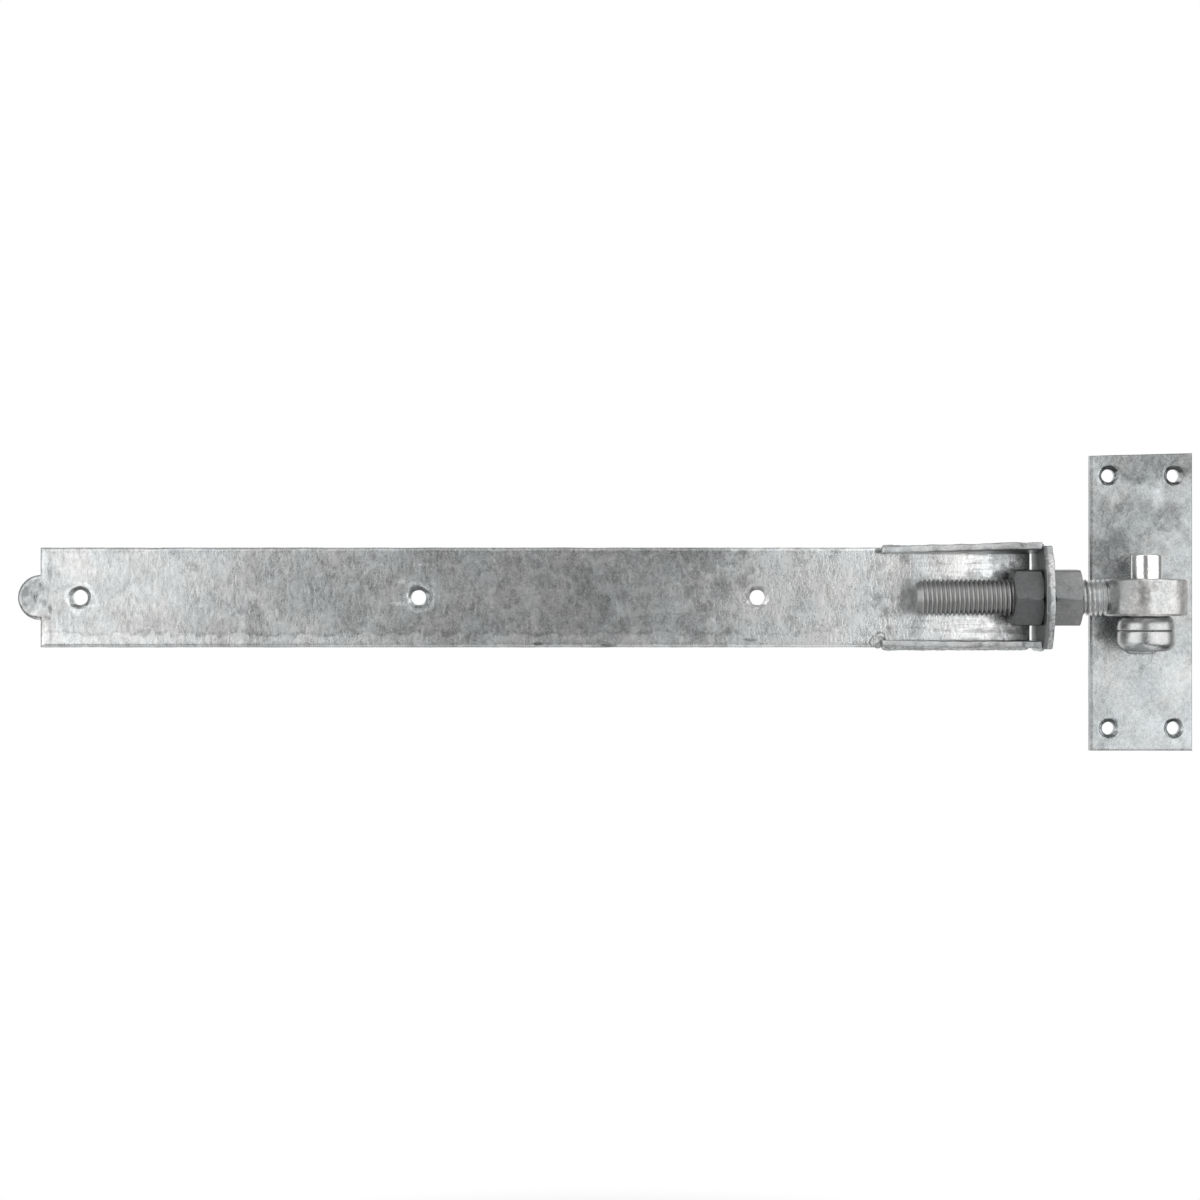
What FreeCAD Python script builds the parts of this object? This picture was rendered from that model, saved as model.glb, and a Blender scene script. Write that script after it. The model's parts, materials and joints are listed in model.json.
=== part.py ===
import FreeCAD, Part
import os
import re
import Sketcher
from FreeCAD import Vector

# An adjustable gate hinge in galvanised steel, in millimetres.
# A band for the gate hangs by an eye bolt on the pin of a hook plate for the post.
# +Z is up and runs along the pin. +X runs from the gate to the post. The wall plane,
# where the backs of the band and of the hook plate lie, is Y = 0, and the fronts face -Y.
# The origin is the centre of the hook plate's back face.

SIZES = {
    # Hook plate
    "plate_width": 45.6,
    "plate_height": 132.8,
    "plate_thickness": 5.0,
    "plate_edge_chamfer": 0.6,
    "plate_hole_diameter": 6.0,
    "plate_sink_diameter": 9.2,
    "plate_hole_side_inset": 8.3,
    "plate_hole_end_inset": 10.05,
    # Pin, its knob and the arm that carries it
    "pin_offset": -2.0,
    "pin_standoff": 26.0,
    "pin_diameter": 14.0,
    "pin_above_eye": 10.6,
    "pin_chamfer": 0.7,
    "knob_diameter": 25.2,
    "knob_height": 9.2,
    "knob_base_chamfer": 3.4,
    "arm_width": 15.6,
    "arm_height": 9.4,
    "arm_edge_radius": 4.2,
    "rivet_diameter": 9.0,
    "rivet_sink_diameter": 13.0,
    "hook_weld_leg": 1.5,
    # Loose ring between the knob and the eye
    "ring_height": 6.2,
    "ring_top_chamfer": 1.5,
    # Eye bolt
    "bolt_height": 2.0,
    "bolt_diameter": 16.0,
    "bolt_reach": 100.9,
    "bolt_tip_length": 3.0,
    "bolt_tip_diameter": 12.0,
    "eye_diameter": 37.0,
    "eye_height": 16.4,
    "eye_edge_chamfer": 0.9,
    "running_clearance": 0.1,
    # Nuts
    "nut_across_flats": 24.0,
    "nut_thickness": 13.0,
    "nut_face_diameter": 22.8,
    "nut_chamfer_angle": 30.0,
    "nut_turned": 3.0,
    # End plate of the band
    "end_plate_reach": 42.2,
    "end_plate_thickness": 4.0,
    "end_plate_width": 45.0,
    "end_plate_over_bolt": 16.6,
    "end_plate_side_drop": 9.4,
    "end_plate_hole_diameter": 17.0,
    "end_plate_edge_chamfer": 0.6,
    # Gussets
    "gusset_length": 67.8,
    "gusset_thickness": 3.2,
    "gusset_height": 27.0,
    "gusset_toe_height": 4.0,
    "gusset_level_length": 9.0,
    "gusset_spread": 46.0,
    "gusset_shift": 0.8,
    "gusset_edge_radius": 0.5,
    # Strap
    "strap_width": 45.0,
    "strap_thickness": 5.0,
    "strap_length": 441.4,
    "strap_end_gap": 1.6,
    "strap_edge_radius": 1.5,
    "nose_radius": 10.1,
    "strap_hole_diameter": 7.0,
    "strap_sink_diameter": 10.5,
    "strap_hole_pitch": 151.2,
    "strap_hole_inset": 17.6,
    # Weld beads
    "seam_bead_radius": 1.8,
    "corner_bead_radius": 1.4,
    "bead_end_inset": 2.0,
    "bead_end_share": 0.5,
    "toe_bead_radius": 2.9,
    "toe_bead_height": 1.5,
}

# Places that several pieces share, as formulas of the sizes above
BOLT_Y = "-pin_standoff"
EYE_BASE_Z = "bolt_height - eye_height / 2"
RING_BASE_Z = f"{EYE_BASE_Z} - ring_height"
BORE_DIAMETER = "pin_diameter + 2 * running_clearance"
NUT_BORE_DIAMETER = "bolt_diameter + 2 * running_clearance"
END_PLATE_OUTER_X = "pin_offset - end_plate_reach"
END_PLATE_INNER_X = f"{END_PLATE_OUTER_X} - end_plate_thickness"
STRAP_END_X = f"{END_PLATE_INNER_X} - strap_end_gap"
GUSSET_END_X = f"{END_PLATE_INNER_X} - gusset_length"
UPPER_FACE_Z = "bolt_height + gusset_shift + gusset_spread / 2"
LOWER_FACE_Z = "bolt_height + gusset_shift - gusset_spread / 2"
END_PLATE_SIDE_Y = "pin_standoff + end_plate_over_bolt - end_plate_side_drop"

doc = FreeCAD.newDocument("AdjustableGateHinge")
sheet = doc.addObject("Spreadsheet::Sheet", "Sizes")
for row, (alias, size) in enumerate(SIZES.items(), start=1):
    sheet.set(f"A{row}", alias)
    sheet.set(f"B{row}", str(size))
    sheet.setAlias(f"B{row}", alias)
doc.recompute()


def formula(text):
    """Point every size named in the text at its cell in the sheet."""
    return re.sub(r"[a-z]+_\w+", lambda name: "Sizes." + name.group(), text)


def value(text):
    """Work a formula out as a number."""
    return float(sheet.evalExpression(formula(text)))


def bind(item, prop, text):
    item.setExpression(prop, formula(text))


def place(item, x="0", y="0", z="0"):
    for axis, text in zip("xyz", (x, y, z)):
        bind(item, f"Placement.Base.{axis}", text)


def new_body(label, x="0", y="0", z="0"):
    body = doc.addObject("PartDesign::Body", label)
    body.Label = label
    place(body, x, y, z)
    return body


def new_sketch(body, plane, forward="0", across="0", up="0"):
    """Sketch on an origin plane of the body, moved along the sketch's own axes."""
    sketch = body.newObject("Sketcher::SketchObject", f"{body.Label}_sketch")
    support = next(item for item in body.Origin.OriginFeatures if item.Role == plane)
    sketch.AttachmentSupport = [(support, "")]
    sketch.MapMode = "FlatFace"
    for axis, text in zip("xyz", (across, up, forward)):
        bind(sketch, f"AttachmentOffset.Base.{axis}", text)
    return sketch


def bind_constraint(sketch, *words, text):
    number = sketch.addConstraint(Sketcher.Constraint(*words, value(text)))
    sketch.renameConstraint(number, f"size{number}")
    bind(sketch, f"Constraints.size{number}", text)


def fix_point(sketch, edge, end, across, up):
    """Hold one end of an edge at a place given from the sketch's origin."""
    for kind, axis_line, text in (("DistanceX", -2, across), ("DistanceY", -1, up)):
        if text == "0":
            sketch.addConstraint(Sketcher.Constraint("PointOnObject", edge, end, axis_line))
        else:
            bind_constraint(sketch, kind, -1, 1, edge, end, text=text)


def draw_outline(sketch, corners, arcs=None):
    """Closed anticlockwise outline. arcs gives the centre of the arc that leaves a corner."""
    arcs = arcs or {}
    points = [Vector(value(across), value(up), 0) for across, up in corners]
    for number, start in enumerate(points):
        end = points[(number + 1) % len(points)]
        if number in arcs:
            centre = Vector(*(value(text) for text in arcs[number]), 0)
            circle = Part.Circle(centre, Vector(0, 0, 1), (start - centre).Length)
            sketch.addGeometry(Part.ArcOfCircle(circle, circle.parameter(start), circle.parameter(end)))
        else:
            sketch.addGeometry(Part.LineSegment(start, end))
    for number, (across, up) in enumerate(corners):
        sketch.addConstraint(Sketcher.Constraint("Coincident", (number or len(corners)) - 1, 2, number, 1))
        fix_point(sketch, number, 1, across, up)
    for number, (across, up) in arcs.items():
        chord = points[(number + 1) % len(points)] - points[number]
        kind, text = ("DistanceX", across) if abs(chord.y) > abs(chord.x) else ("DistanceY", up)
        bind_constraint(sketch, kind, -1, 1, number, 3, text=text)


def draw_circle(sketch, diameter, across="0", up="0"):
    centre = Vector(value(across), value(up), 0)
    number = sketch.addGeometry(Part.Circle(centre, Vector(0, 0, 1), value(diameter) / 2))
    fix_point(sketch, number, 3, across, up)
    bind_constraint(sketch, "Diameter", number, text=diameter)


def pad(body, sketch, length, midplane=False, reverse=False):
    feature = body.newObject("PartDesign::Pad", f"{body.Label}_pad")
    feature.Profile = sketch
    bind(feature, "Length", length)
    feature.Midplane = midplane
    feature.Reversed = reverse
    return feature


def pocket_through(body, sketch):
    feature = body.newObject("PartDesign::Pocket", f"{body.Label}_pocket")
    feature.Profile = sketch
    feature.Type = 1
    feature.Midplane = True
    return feature


def turn(body, sketch, axis, cut=False):
    """Turned form, or a turned cut, about the sketch's own horizontal or vertical axis."""
    kind = "Groove" if cut else "Revolution"
    feature = body.newObject(f"PartDesign::{kind}", f"{body.Label}_turned")
    feature.Profile = sketch
    feature.ReferenceAxis = (sketch, [axis])
    feature.Angle = 360
    return feature


def sunk_holes(body, sketch, diameter, sink_diameter, reverse=False):
    """Through holes with a 90 degree countersink at the sketch's face."""
    doc.recompute()
    feature = body.newObject("PartDesign::Hole", f"{body.Label}_holes")
    feature.Profile = sketch
    feature.Reversed = reverse
    feature.DepthType = "ThroughAll"
    feature.DrillPoint = "Flat"
    feature.HoleCutType = "Countersink"
    feature.HoleCutCustomValues = True
    feature.HoleCutCountersinkAngle = 90
    bind(feature, "Diameter", diameter)
    bind(feature, "HoleCutDiameter", sink_diameter)
    return feature


def soften(body, feature, radius, wanted, kind="Fillet"):
    """Round, or chamfer, the edges of a feature that pass the test."""
    doc.recompute()
    edges = [f"Edge{number}" for number, edge in enumerate(feature.Shape.Edges, start=1) if wanted(edge)]
    rounded = body.newObject(f"PartDesign::{kind}", f"{body.Label}_edges")
    rounded.Base = (feature, edges)
    bind(rounded, "Radius" if kind == "Fillet" else "Size", radius)
    return rounded


def lies_at(axis, text):
    """Test for edges that lie wholly in the plane where the axis has that value."""
    level = value(text)
    low, high = f"{axis.upper()}Min", f"{axis.upper()}Max"

    def wanted(edge):
        box = edge.BoundBox
        return max(abs(getattr(box, low) - level), abs(getattr(box, high) - level)) < 1e-4

    return wanted


# Hook plate: flat bar with a countersunk screw hole near each corner
def make_hook_plate():
    body = new_body("hook_plate")
    outline = new_sketch(body, "XZ_Plane")
    sides = ("plate_width / 2", "plate_height / 2")
    signs = (("-", "-"), ("", "-"), ("", ""), ("-", ""))
    draw_outline(outline, [(left + sides[0], down + sides[1]) for left, down in signs])
    blank = pad(body, outline, "plate_thickness")
    soften(body, blank, "plate_edge_chamfer", lies_at("y", "-plate_thickness"), kind="Chamfer")
    screws = new_sketch(body, "XZ_Plane", forward="plate_thickness")
    across, up = f"({sides[0]} - plate_hole_side_inset)", f"({sides[1]} - plate_hole_end_inset)"
    for left, down in signs:
        draw_circle(screws, "plate_hole_diameter", left + across, down + up)
    sunk_holes(body, screws, "plate_hole_diameter", "plate_sink_diameter")
    rivet = new_sketch(body, "XZ_Plane", up=f"{RING_BASE_Z} - arm_height / 2")
    draw_circle(rivet, "rivet_diameter + 2 * running_clearance")
    sunk_holes(body, rivet, "rivet_diameter + 2 * running_clearance",
               "rivet_sink_diameter + 2 * running_clearance", reverse=True)
    return body


# Hook pin: one forging with the pin, the knob under it, the arm back to the plate
# and the tail that is riveted over in the plate's back
def make_hook_pin():
    body = new_body("hook_pin", "pin_offset", "-pin_standoff", RING_BASE_Z)
    pin_top = "ring_height + eye_height + pin_above_eye"
    profile = new_sketch(body, "XZ_Plane")
    draw_outline(profile, [
        ("0", "-knob_height"),
        ("knob_diameter / 2 - knob_base_chamfer", "-knob_height"),
        ("knob_diameter / 2", "knob_base_chamfer - knob_height"),
        ("knob_diameter / 2", "0"),
        ("pin_diameter / 2", "0"),
        ("pin_diameter / 2", f"{pin_top} - pin_chamfer"),
        ("pin_diameter / 2 - pin_chamfer", pin_top),
        ("0", pin_top),
    ])
    turn(body, profile, "V_Axis")
    arm = new_sketch(body, "XZ_Plane", across="-pin_offset", up="-arm_height / 2")
    draw_rounded_bar(arm, "arm_width", "arm_height", "arm_edge_radius")
    pad(body, arm, "pin_standoff - plate_thickness", reverse=True)
    tail = new_sketch(body, "XY_Plane", forward="-arm_height / 2", across="-pin_offset",
                      up="pin_standoff - plate_thickness")
    flare = "(rivet_sink_diameter - rivet_diameter) / 2"
    draw_outline(tail, [
        ("0", "-1"),
        ("rivet_diameter / 2", "-1"),
        ("rivet_diameter / 2", f"plate_thickness - {flare}"),
        ("rivet_sink_diameter / 2", "plate_thickness"),
        ("0", "plate_thickness"),
    ])
    turn(body, tail, "V_Axis")
    return body


def draw_rounded_bar(sketch, width, height, radius):
    """Rectangle with round corners about the sketch's origin."""
    right, top = f"({width}) / 2", f"({height}) / 2"
    inner_right, inner_top = f"({right} - {radius})", f"({top} - {radius})"
    draw_outline(sketch, [
        (f"-{inner_right}", f"-{top}"),
        (inner_right, f"-{top}"),
        (right, f"-{inner_top}"),
        (right, inner_top),
        (inner_right, top),
        (f"-{inner_right}", top),
        (f"-{right}", inner_top),
        (f"-{right}", f"-{inner_top}"),
    ], {
        1: (inner_right, f"-{inner_top}"),
        3: (inner_right, inner_top),
        5: (f"-{inner_right}", inner_top),
        7: (f"-{inner_right}", f"-{inner_top}"),
    })


# Fillet weld that runs round the arm where it meets the hook plate
def make_hook_weld():
    body = new_body("hook_weld", "0", "-plate_thickness", f"{RING_BASE_Z} - arm_height / 2")
    bead = new_sketch(body, "XZ_Plane")
    draw_rounded_bar(bead, "arm_width + 2 * hook_weld_leg", "arm_height + 2 * hook_weld_leg",
                     "(arm_edge_radius + hook_weld_leg)")
    blank = pad(body, bead, "hook_weld_leg")
    soften(body, blank, "0.8 * hook_weld_leg", lies_at("y", "-hook_weld_leg"), kind="Chamfer")
    hollow = new_sketch(body, "XZ_Plane")
    draw_rounded_bar(hollow, "arm_width", "arm_height", "arm_edge_radius")
    pocket_through(body, hollow)
    return body


# Loose ring on the pin that the eye bears on
def make_seat_ring():
    body = new_body("seat_ring", "pin_offset", "-pin_standoff", RING_BASE_Z)
    circle = new_sketch(body, "XY_Plane")
    draw_circle(circle, "knob_diameter")
    blank = pad(body, circle, "ring_height")
    soften(body, blank, "ring_top_chamfer", lies_at("z", "ring_height"), kind="Chamfer")
    bore = new_sketch(body, "XY_Plane")
    draw_circle(bore, BORE_DIAMETER)
    pocket_through(body, bore)
    return body


# Eye bolt: a forged eye that turns on the pin, with a threaded shank
def make_eye_bolt():
    body = new_body("eye_bolt", "pin_offset", "-pin_standoff", "bolt_height")
    eye = new_sketch(body, "XY_Plane")
    draw_circle(eye, "eye_diameter")
    blank = pad(body, eye, "eye_height", midplane=True)
    topped = soften(body, blank, "eye_edge_chamfer", lies_at("z", "eye_height / 2"), kind="Chamfer")
    soften(body, topped, "eye_edge_chamfer", lies_at("z", "-eye_height / 2"), kind="Chamfer")
    shank = new_sketch(body, "XZ_Plane")
    draw_outline(shank, [
        ("-bolt_reach", "0"),
        ("-pin_diameter / 2", "0"),
        ("-pin_diameter / 2", "bolt_diameter / 2"),
        ("bolt_tip_length - bolt_reach", "bolt_diameter / 2"),
        ("-bolt_reach", "bolt_tip_diameter / 2"),
    ])
    turn(body, shank, "H_Axis")
    bore = new_sketch(body, "XY_Plane")
    draw_circle(bore, BORE_DIAMETER)
    pocket_through(body, bore)
    return body


# Hexagon nut with its corners chamfered on both faces
def make_nut(label, x):
    body = new_body(label, x, BOLT_Y, "bolt_height")
    hexagon = new_sketch(body, "YZ_Plane")
    corner = "nut_across_flats / sqrt(3)"
    angles = [f"({60 * number} + nut_turned) * 1deg" for number in range(6)]
    draw_outline(hexagon, [(f"{corner} * cos({angle})", f"{corner} * sin({angle})") for angle in angles])
    pad(body, hexagon, "nut_thickness")
    bore = new_sketch(body, "YZ_Plane")
    draw_circle(bore, NUT_BORE_DIAMETER)
    pocket_through(body, bore)
    reach = "nut_across_flats * 0.6"
    depth = f"(({reach} - nut_face_diameter / 2) * tan(nut_chamfer_angle * 1deg))"
    for face, inward in (("0", ""), ("nut_thickness", "nut_thickness - ")):
        rim = new_sketch(body, "XY_Plane")
        corners = [(face, "nut_face_diameter / 2"), (face, reach), (inward + depth, reach)]
        draw_outline(rim, corners if inward else corners[::-1])
        turn(body, rim, "H_Axis", cut=True)
    return body


# End plate: stands across the band's end, with an arched top and the bolt's hole
def make_end_plate():
    body = new_body("end_plate", END_PLATE_INNER_X, "0", "bolt_height")
    outline = new_sketch(body, "YZ_Plane")
    rise = "end_plate_side_drop"
    arch_radius = f"((end_plate_width ^ 2 / 4 + {rise} ^ 2) / (2 * {rise}))"
    arch_centre = f"{arch_radius} - pin_standoff - end_plate_over_bolt"
    side = f"-({END_PLATE_SIDE_Y})"
    draw_outline(outline, [
        ("0", "-end_plate_width / 2"),
        ("0", "end_plate_width / 2"),
        (side, "end_plate_width / 2"),
        (side, "-end_plate_width / 2"),
    ], {2: (arch_centre, "0")})
    blank = pad(body, outline, "end_plate_thickness")
    soften(body, blank, "end_plate_edge_chamfer", lies_at("x", "end_plate_thickness"), kind="Chamfer")
    hole = new_sketch(body, "YZ_Plane")
    draw_circle(hole, "end_plate_hole_diameter", BOLT_Y)
    pocket_through(body, hole)
    return body


# Gusset: tapers from the end plate down to its toe on the strap
def make_gusset(label, base_z):
    body = new_body(label, END_PLATE_INNER_X, "-strap_thickness", base_z)
    outline = new_sketch(body, "XY_Plane")
    draw_outline(outline, [
        ("-gusset_length", "0"),
        ("-gusset_length", "-gusset_toe_height"),
        ("-gusset_level_length", "-gusset_height"),
        ("0", "-gusset_height"),
        ("0", "0"),
    ])
    blank = pad(body, outline, "gusset_thickness")
    top = value("-gusset_toe_height / 2")
    soften(body, blank, "gusset_edge_radius",
           lambda edge: edge.CenterOfMass.y < top and edge.BoundBox.ZLength < 1e-4
           and edge.BoundBox.XLength > 1e-4)
    return body


# Strap: flat bar with a half-round nose past its shoulder and three sunk bolt holes
def make_strap():
    body = new_body("strap", STRAP_END_X, "0", "bolt_height")
    outline = new_sketch(body, "XZ_Plane")
    draw_outline(outline, [
        ("-strap_length", "-strap_width / 2"),
        ("0", "-strap_width / 2"),
        ("0", "strap_width / 2"),
        ("-strap_length", "strap_width / 2"),
    ])
    blank = pad(body, outline, "strap_thickness")
    at_front = lies_at("y", "-strap_thickness")
    soften(body, blank, "strap_edge_radius",
           lambda edge: at_front(edge) and edge.BoundBox.XMin < -1)
    nose = new_sketch(body, "XY_Plane", across="-strap_length")
    draw_outline(nose, [
        ("0", "-strap_thickness"),
        ("nose_radius - strap_edge_radius", "-strap_thickness"),
        ("nose_radius", "strap_edge_radius - strap_thickness"),
        ("nose_radius", "0"),
        ("0", "0"),
    ], {1: ("nose_radius - strap_edge_radius", "strap_edge_radius - strap_thickness")})
    turn(body, nose, "V_Axis")
    bolts = new_sketch(body, "XZ_Plane", forward="strap_thickness")
    for number in range(3):
        draw_circle(bolts, "strap_hole_diameter",
                    f"strap_hole_inset + {number} * strap_hole_pitch - strap_length")
    sunk_holes(body, bolts, "strap_hole_diameter", "strap_sink_diameter")
    return body


def bead_blank(label, radius, length, x, y, z, along):
    """Bar of weld metal with tapered ends from a start point, along X or along -Y."""
    body = new_body(f"{label}_blank", x, y, z)
    profile = new_sketch(body, "XY_Plane")
    steps = [("0", "0"), ("0", f"bead_end_share * {radius}"), (radius, radius),
             (f"{length} - {radius}", radius), (length, f"bead_end_share * {radius}"), (length, "0")]
    if along == "x":
        draw_outline(profile, steps[::-1])
        turn(body, profile, "H_Axis")
    else:
        draw_outline(profile, [(out, f"-({down})") for down, out in steps[::-1]])
        turn(body, profile, "V_Axis")
    return body


def trimmed_weld(label, blank, *pieces):
    """Weld metal that fills only the space beside the pieces it joins."""
    weld = blank
    for piece in pieces:
        cut = doc.addObject("Part::Cut", f"{label}_cut")
        cut.Base = weld
        cut.Tool = piece
        weld = cut
    weld.Label = label
    return weld


# Weld beads: one along the foot of each gusset, one at each corner of the end plate
# and a puddle where the lower gusset's bead was started
def make_welds(strap, end_plate, upper_gusset, lower_gusset):
    welds = []
    for side, gusset, sign in (("upper", upper_gusset, "+"), ("lower", lower_gusset, "-")):
        seam = bead_blank(f"{side}_seam", "seam_bead_radius", "(gusset_length - bead_end_inset)",
                          GUSSET_END_X, "-strap_thickness", f"bolt_height {sign} strap_width / 2", "x")
        welds.append(trimmed_weld(f"{side}_seam_weld", seam, strap, gusset))
        corner = bead_blank(f"{side}_corner", "corner_bead_radius", "(gusset_height - 2 * bead_end_inset)",
                            END_PLATE_INNER_X, "-strap_thickness - bead_end_inset",
                            f"bolt_height {sign} end_plate_width / 2", "y")
        welds.append(trimmed_weld(f"{side}_corner_weld", corner, end_plate, gusset))
    puddle = doc.addObject("Part::Cone", "toe_puddle")
    bind(puddle, "Radius1", "toe_bead_radius")
    bind(puddle, "Radius2", "bead_end_share * toe_bead_radius")
    bind(puddle, "Height", "toe_bead_height")
    place(puddle, f"{GUSSET_END_X} - toe_bead_radius / 3", "-strap_thickness",
          f"{LOWER_FACE_Z} + gusset_thickness - toe_bead_radius / 5")
    puddle.Placement.Rotation = FreeCAD.Rotation(Vector(1, 0, 0), 90)
    welds.append(trimmed_weld("lower_toe_weld", puddle, lower_gusset, welds[2]))
    return welds


strap = make_strap()
end_plate = make_end_plate()
upper_gusset = make_gusset("upper_gusset", f"{UPPER_FACE_Z} - gusset_thickness")
lower_gusset = make_gusset("lower_gusset", LOWER_FACE_Z)
pieces = [
    strap,
    end_plate,
    upper_gusset,
    lower_gusset,
    make_eye_bolt(),
    make_nut("inner_nut", f"{END_PLATE_INNER_X} - nut_thickness"),
    make_nut("outer_nut", END_PLATE_OUTER_X),
    make_hook_plate(),
    make_hook_pin(),
    make_hook_weld(),
    make_seat_ring(),
]
pieces += make_welds(strap, end_plate, upper_gusset, lower_gusset)
doc.recompute()

for item in doc.Objects:
    if {"Invalid", "Error"} & set(item.State):
        raise RuntimeError(f"{item.Label} failed: {item.State}")
os.makedirs("parts", exist_ok=True)
for piece in pieces:
    if piece.Shape.isNull() or not piece.Shape.isValid():
        raise RuntimeError(f"{piece.Label} has no valid solid")
    print(piece.Label, len(piece.Shape.Solids), round(piece.Shape.Volume, 1), piece.Shape.BoundBox)
for piece in pieces:
    piece.Shape.exportStep(f"parts/{piece.Label}.step")
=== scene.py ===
# %% [markdown]
# # An adjustable gate hinge in hot-dip zinc
# The hinge is a long flat band for the gate, a threaded eye bolt that sets its length, and a hook plate
# with an upright pin for the post. The frame that is loaded here holds every part at its real size.
# Each part is rebuilt with its thread, weld ripples and the softer edges that hot zinc leaves, and is then
# given its finish. Places in the frame are in metres, and sizes written here are mostly in millimetres.

# %% Load the frame
import json
import math

import bmesh
import bpy
from mathutils import Matrix, Vector, noise


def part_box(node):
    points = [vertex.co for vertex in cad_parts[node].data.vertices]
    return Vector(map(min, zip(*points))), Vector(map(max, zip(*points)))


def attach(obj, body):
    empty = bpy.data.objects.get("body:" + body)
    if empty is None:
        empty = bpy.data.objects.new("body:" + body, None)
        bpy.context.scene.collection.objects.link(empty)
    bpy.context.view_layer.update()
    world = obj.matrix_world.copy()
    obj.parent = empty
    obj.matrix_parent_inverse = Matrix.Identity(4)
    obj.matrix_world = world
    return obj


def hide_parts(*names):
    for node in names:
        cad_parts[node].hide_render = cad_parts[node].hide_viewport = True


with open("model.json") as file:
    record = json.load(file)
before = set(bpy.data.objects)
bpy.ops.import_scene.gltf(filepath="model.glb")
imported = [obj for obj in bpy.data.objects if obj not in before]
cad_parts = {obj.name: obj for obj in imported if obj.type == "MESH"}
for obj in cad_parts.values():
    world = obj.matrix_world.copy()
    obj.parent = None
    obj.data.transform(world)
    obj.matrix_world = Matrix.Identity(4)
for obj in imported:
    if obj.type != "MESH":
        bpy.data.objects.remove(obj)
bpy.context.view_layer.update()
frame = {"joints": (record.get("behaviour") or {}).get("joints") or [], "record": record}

record = frame["record"]
MM = 0.001
NEAR, NEARER = 1e-6, 1e-7

# %% [markdown]
# Every piece hangs from two lines: the upright pin that the eye turns on, and the bolt's own axis.
# Both are read from the joints, so a piece is placed by the frame and never by eye.

# %% The two axes and the body of each part
joints = {joint["name"]: joint for joint in frame["joints"]}
PIN = Vector(joints["swing"]["pos_m"])
BOLT = Vector(joints["outer_nut_turn"]["pos_m"])
BODY_OF = {node: body for body, nodes in record["behaviour"]["bodies"].items() for node in nodes}
print("pin axis:", PIN, "bolt axis:", BOLT)

# %% [markdown]
# The camera stands square in front of the band, a little over a metre away, as in the photograph.
# Its lens is worked out from the width that the picture spans at the band's front face.

# %% Camera
CAMERA_PLACE = Vector((-0.2414, -1.225, 0.0009))
VIEW_WIDTH = 0.5352
VIEW_DISTANCE = 1.22
camera_data = bpy.data.cameras.new("camera")
camera_data.lens = camera_data.sensor_width * VIEW_DISTANCE / VIEW_WIDTH
camera = bpy.data.objects.new("camera", camera_data)
camera.location = CAMERA_PLACE
camera.rotation_euler = (math.radians(90), 0, 0)
bpy.context.scene.collection.objects.link(camera)
bpy.context.scene.camera = camera
bpy.context.scene.view_settings.view_transform = "Standard"
print("lens:", round(camera_data.lens, 2))

# %% [markdown]
# Zinc shows the room more than its own colour. Two tall soft lamps stand either side of the camera with
# a gap between them, which gives the round pin its two bright stripes and leaves the middle of the flat
# band greyer than its ends. A third lamp overhead lights the upper faces of the nuts.


# %% Lamps
SIDE_LIGHT = 1.12
TOP_LIGHT = 0.48


def soft_lamp(name, place, target, width, height, radiance):
    """Rectangular lamp whose face has the given radiance, where 1 is white."""
    data = bpy.data.lights.new(name, "AREA")
    data.shape = "RECTANGLE"
    data.size = width
    data.size_y = height
    data.energy = radiance * math.pi * width * height
    lamp = bpy.data.objects.new(name, data)
    lamp.location = place
    lamp.rotation_euler = (Vector(target) - Vector(place)).to_track_quat("-Z", "Y").to_euler()
    lamp.visible_camera = False
    bpy.context.scene.collection.objects.link(lamp)


soft_lamp("left_lamp", (-0.91, -0.51, 0.35), (-0.25, 0.15, 0.35), 1.08, 1.5, SIDE_LIGHT)
soft_lamp("right_lamp", (0.445, -0.45, 0.35), (-0.04, 0.12, 0.35), 1.13, 1.5, SIDE_LIGHT)
soft_lamp("top_lamp", (-0.24, -0.45, 1.1), (-0.24, -0.02, 0.0), 1.6, 1.4, TOP_LIGHT)


# %% Short ways to add shader nodes
def add(tree, kind, inputs=None, **settings):
    """One shader node with its settings. An input is a number, or a socket to link from."""
    node = tree.nodes.new("ShaderNode" + kind)
    for name, setting in settings.items():
        setattr(node, name, setting)
    for key, source in (inputs or {}).items():
        if isinstance(source, bpy.types.NodeSocket):
            tree.links.new(source, node.inputs[key])
        else:
            node.inputs[key].default_value = source
    return node


def maths(tree, operation, first, second=0.0, third=0.0):
    return add(tree, "Math", {0: first, 1: second, 2: third}, operation=operation).outputs[0]


def component(tree, vector, axis):
    return add(tree, "SeparateXYZ", {0: vector}).outputs[axis]


def fade(tree, value, start, end, low=0.0, high=1.0):
    """Smooth change from low to high as the value goes from start to end."""
    inputs = {"Value": value, "From Min": start, "From Max": end, "To Min": low, "To Max": high}
    return add(tree, "MapRange", inputs, interpolation_type="SMOOTHSTEP").outputs[0]


def blend(tree, factor, first, second):
    """The first colour where the factor is 0, and the second where it is 1."""
    inputs = {"Factor": factor, "A": first, "B": second}
    return add(tree, "Mix", inputs, data_type="RGBA").outputs["Result"]


def ramp(tree, factor, stops):
    """Colour ramp. A stop is a position and a colour."""
    node = add(tree, "ValToRGB", {"Fac": factor})
    elements = node.color_ramp.elements
    for _ in stops[2:]:
        elements.new(0.5)
    for element, (position, colour) in zip(elements, stops):
        element.position = position
        element.color = (*colour, 1)
    return node.outputs["Color"]


# %% [markdown]
# The world is white where the camera looks, and metal mirrors the same white backdrop behind the hinge.
# Everywhere else it sees a dim studio, which keeps the flat faces from looking chalky.

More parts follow.
